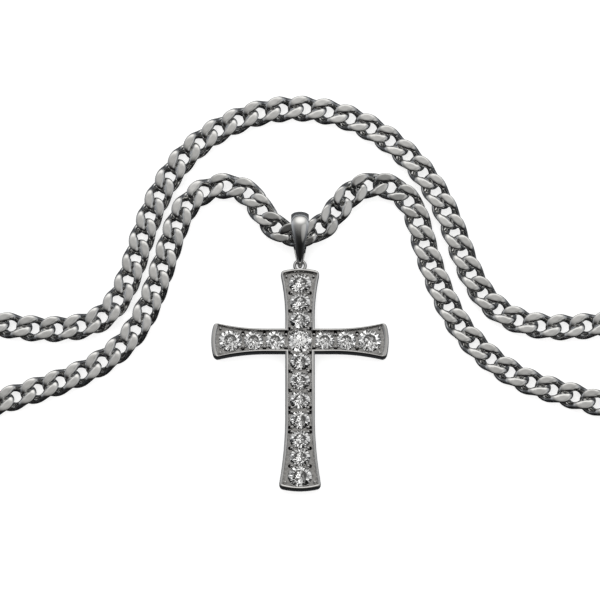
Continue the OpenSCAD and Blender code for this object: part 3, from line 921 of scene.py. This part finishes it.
def makeClasp():
    first, last = chain["claspFirst"], chain["claspFirst"] + chain["claspPlaces"] - 1
    start, finish = placeOf(first), placeOf(last)
    reach = pitch * (chain["claspPlaces"] - 1) / 2
    half, side, corner = reach - clasp["eyeRoom"], clasp["width"] / 2, clasp["corner"]
    bm = bmesh.new()
    outline = []
    for cx, cy, a in ((half - corner, side - corner, 0), (corner - half, side - corner, 90),
                      (corner - half, corner - side, 180), (half - corner, corner - side, 270)):
        for k in range(clasp["cornerSteps"] + 1):
            t = math.radians(a + 90 * k / clasp["cornerSteps"])
            outline.append((cx, cy, math.cos(t), math.sin(t)))
    flat = clasp["thickness"] / 2
    below = [(inset, deep - flat) for inset, deep in clasp["edge"]]
    below += [(inset, -z) for inset, z in clasp["seam"]]
    loops = []
    for inset, z in below + [(inset, -z) for inset, z in below[::-1]]:
        reachIn = corner - inset
        loops.append([(cx + reachIn * c, cy + reachIn * s, z) for cx, cy, c, s in outline])
    rings = closedLoops(bm, loops, False)
    bm.faces.new(rings[0])
    bm.faces.new(rings[-1])
    bmesh.ops.recalc_face_normals(bm, faces=bm.faces)
    bmesh.ops.scale(bm, vec=(mm, mm, mm), verts=bm.verts)
    for s in (-1, 1):
        count = len(bm.verts)
        bm.from_mesh(oneLink)
        bm.verts.ensure_lookup_table()
        bmesh.ops.translate(bm, vec=(s * reach * mm, 0, 0), verts=bm.verts[count:])
    made = meshOf(bm, "boxClasp")
    place = frameBetween(start, finish, (start + finish) / 2, 0)
    place.translation = place.translation * mm
    made.transform(place)
    made.set_sharp_from_angle(angle=math.radians(clasp["sharp"]))
    made.materials.append(chainMetal)
    return made


piece = newObject("boxClasp", makeClasp())
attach(piece, "root")
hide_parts("clasp")
print("clasp made")

# a pale table top, a wide soft sky and a lamp; places in metres
studio = {
    "floor": (0.5, 0.5, 0.498), "floorMottle": 0.985, "floorGlow": 1.4, "floorSize": 1.6,
    "behind": (0.95, 0.95, 0.95),  # what the camera sees past the table
    "soft": 1.2,  # the even light on what isn't polished
    # soft boxes as a direction and the brightness of the sky by nearness to it
    "boxes": [
        ((0.04, 0.72, 0.69), [
            (0.0, 0.01), (0.3, 0.03), (0.5, 0.11), (0.68, 0.26), (0.82, 0.4), (0.88, 0.6), (0.94, 0.95),
            (1.0, 1.2),
        ]),
        ((0.55, -0.15, 0.82), [(0.0, 0.0), (0.88, 0.0), (0.94, 0.22), (1.0, 0.34)]),
    ],
    "rise": (0.05, 0.3),  # heights between which the sky begins
    "sides": [(0.0, 0.0), (0.35, 0.02), (0.6, 0.12), (0.8, 0.32), (1.0, 0.6)],
    # a thin line of light along the horizon, from below (0) to above (1), stronger at the back
    "horizon": [(0.0, 0.08), (0.3, 0.1), (0.44, 0.16), (0.5, 0.5), (0.53, 0.3), (0.57, 0.02), (1.0, 0.0)],
    "back": (-0.5, 0.4, 0.12, 1.0),
    "warm": (1.0, 0.995, 0.98), "cool": (0.93, 0.975, 1.05),
    # the cards of light that the stones show
    "cards": 3.5, "cardLight": [(0.0, 0.04), (0.28, 0.24), (0.5, 0.55), (0.68, 1.0), (0.86, 2.1)],
}


def makeFloor():
    bm = bmesh.new()
    half = studio["floorSize"] / 2
    corners = [(x * half, y * half, -0.02 * mm) for x, y in ((-1, -1), (1, -1), (1, 1), (-1, 1))]
    bm.faces.new([bm.verts.new(corner) for corner in corners])
    floor = newObject("tableTop", meshOf(bm, "tableTop"))
    material = bpy.data.materials.new("paleTable")
    material.use_nodes = True
    tree = material.node_tree
    join = tree.links.new
    shader = tree.nodes["Principled BSDF"]
    where = addNode(tree, "ShaderNodeTexCoord", (-800, 0))
    noise = addNode(tree, "ShaderNodeTexNoise", (-600, 0), Scale=40, Detail=3)
    ramp = addNode(tree, "ShaderNodeValToRGB", (-350, 0))
    ramp.color_ramp.elements[0].color = (*[part * studio["floorMottle"] for part in studio["floor"]], 1)
    ramp.color_ramp.elements[1].color = (*studio["floor"], 1)
    join(where.outputs["Object"], noise.inputs["Vector"])
    join(noise.outputs["Fac"], ramp.inputs["Fac"])
    join(ramp.outputs["Color"], shader.inputs["Base Color"])
    join(ramp.outputs["Color"], shader.inputs["Emission Color"])
    shader.inputs["Emission Strength"].default_value = studio["floorGlow"]
    shader.inputs["Roughness"].default_value = 0.9
    shader.inputs["Specular IOR Level"].default_value = 0.1
    floor.data.materials.append(material)
    floor.visible_glossy = False


def skyRamp(tree, place, stops, tint):
    ramp = addNode(tree, "ShaderNodeValToRGB", place)
    while len(ramp.color_ramp.elements) < len(stops):
        ramp.color_ramp.elements.new(0.5)
    for element, (position, value) in zip(ramp.color_ramp.elements, stops):
        element.position = position
        element.color = (*[value * part for part in studio[tint]], 1)
    return ramp


def blend(tree, place, kind, one, two):
    # one colour mixed with another all the way: MULTIPLY or ADD
    node = addNode(tree, "ShaderNodeMix", place, data_type="RGBA", blend_type=kind)
    node.inputs["Factor"].default_value = 1
    tree.links.new(one, node.inputs[6])
    tree.links.new(two, node.inputs[7])
    return node.outputs[2]


def makeSky():
    world = bpy.data.worlds.new("softStudio")
    scene.world = world
    world.use_nodes = True
    world.cycles.sampling_method = "NONE"
    tree = world.node_tree
    for node in list(tree.nodes):
        tree.nodes.remove(node)
    out = addNode(tree, "ShaderNodeOutputWorld", (1100, 0))
    where = addNode(tree, "ShaderNodeTexCoord", (-900, 0))
    split = addNode(tree, "ShaderNodeSeparateXYZ", (-650, -400))
    rise = addNode(tree, "ShaderNodeMapRange", (-400, -300), interpolation_type="SMOOTHSTEP")
    rise.inputs["From Min"].default_value, rise.inputs["From Max"].default_value = studio["rise"]
    halve = addNode(tree, "ShaderNodeMath", (-650, -650), operation="MULTIPLY_ADD")
    halve.inputs[1].default_value = halve.inputs[2].default_value = 0.5
    horizon = skyRamp(tree, (-400, -650), studio["horizon"], "cool")
    back = addNode(tree, "ShaderNodeMapRange", (-400, -900))
    for key, value in zip(rangeKeys, studio["back"]):
        back.inputs[key].default_value = value
    aside = addNode(tree, "ShaderNodeMath", (-650, 200), operation="ABSOLUTE")
    sides = skyRamp(tree, (-400, 200), studio["sides"], "cool")
    join = tree.links.new
    join(where.outputs["Generated"], split.inputs["Vector"])
    join(split.outputs["Z"], rise.inputs["Value"])
    join(split.outputs["Z"], halve.inputs[0])
    join(split.outputs["Y"], back.inputs["Value"])
    join(halve.outputs["Value"], horizon.inputs["Fac"])
    join(split.outputs["X"], aside.inputs[0])
    join(aside.outputs["Value"], sides.inputs["Fac"])
    total = blend(tree, (-280, 200), "MULTIPLY", sides.outputs["Color"], back.outputs["Result"])
    for k, (direction, stops) in enumerate(studio["boxes"]):
        near = addNode(tree, "ShaderNodeVectorMath", (-650, 400 + 250 * k), operation="DOT_PRODUCT")
        near.inputs[1].default_value = Vector(direction).normalized()
        box = skyRamp(tree, (-400, 400 + 250 * k), stops, "warm")
        join(where.outputs["Generated"], near.inputs[0])
        join(near.outputs["Value"], box.inputs["Fac"])
        total = blend(tree, (-280, 400 + 250 * k), "ADD", box.outputs["Color"], total)
    dome = blend(tree, (-150, 0), "MULTIPLY", total, rise.outputs["Result"])
    line = blend(tree, (-150, -500), "MULTIPLY", horizon.outputs["Color"], back.outputs["Result"])
    glow = blend(tree, (50, 0), "ADD", dome, line)
    # through the stones the sky is broken up by many small bright and dark cards
    cards = addNode(tree, "ShaderNodeTexVoronoi", (-400, 400), Scale=studio["cards"])
    cardRamp = skyRamp(tree, (-150, 400), studio["cardLight"], "warm")
    cardRamp.color_ramp.interpolation = "CONSTANT"
    tone = addNode(tree, "ShaderNodeSeparateColor", (-280, 250))
    sparkle = addNode(tree, "ShaderNodeMix", (250, 300), data_type="RGBA")
    path = addNode(tree, "ShaderNodeLightPath", (0, 700))
    join(where.outputs["Generated"], cards.inputs["Vector"])
    join(cards.outputs["Color"], tone.inputs["Color"])
    join(tone.outputs["Red"], cardRamp.inputs["Fac"])
    join(path.outputs["Is Transmission Ray"], sparkle.inputs["Factor"])
    join(glow, sparkle.inputs[6])
    join(cardRamp.outputs["Color"], sparkle.inputs[7])
    sky = addNode(tree, "ShaderNodeBackground", (0, 0), Strength=1.0)
    join(sparkle.outputs[2], sky.inputs["Color"])
    plain = addNode(tree, "ShaderNodeBackground", (0, -200), Strength=1.0)
    plain.inputs["Color"].default_value = (*studio["behind"], 1)
    soft = addNode(tree, "ShaderNodeBackground", (0, -400), Strength=studio["soft"])
    seen = addNode(tree, "ShaderNodeMixShader", (500, 0))
    lit = addNode(tree, "ShaderNodeMixShader", (800, 0))
    join(path.outputs["Is Camera Ray"], seen.inputs["Fac"])
    join(sky.outputs["Background"], seen.inputs[1])
    join(plain.outputs["Background"], seen.inputs[2])
    join(path.outputs["Is Diffuse Ray"], lit.inputs["Fac"])
    join(seen.outputs["Shader"], lit.inputs[1])
    join(soft.outputs["Background"], lit.inputs[2])
    join(lit.outputs["Shader"], out.inputs["Surface"])


lamps = {"overhead": {"place": (-0.25, 0.35, 0.9), "size": 0.5, "watts": 1.6}}


def makeLamps():
    for name, values in lamps.items():
        data = bpy.data.lights.new(name, "AREA")
        data.shape, data.size, data.energy = "SQUARE", values["size"], values["watts"]
        lamp = bpy.data.objects.new(name, data)
        scene.collection.objects.link(lamp)
        lamp.location = values["place"]
        lamp.visible_glossy = lamp.visible_transmission = False
        lamp.rotation_mode = "QUATERNION"
        lamp.rotation_quaternion = (-Vector(values["place"])).to_track_quat("-Z", "Y")


makeFloor()
makeSky()
makeLamps()
scene.view_settings.view_transform = "Standard"
print("studio lit")
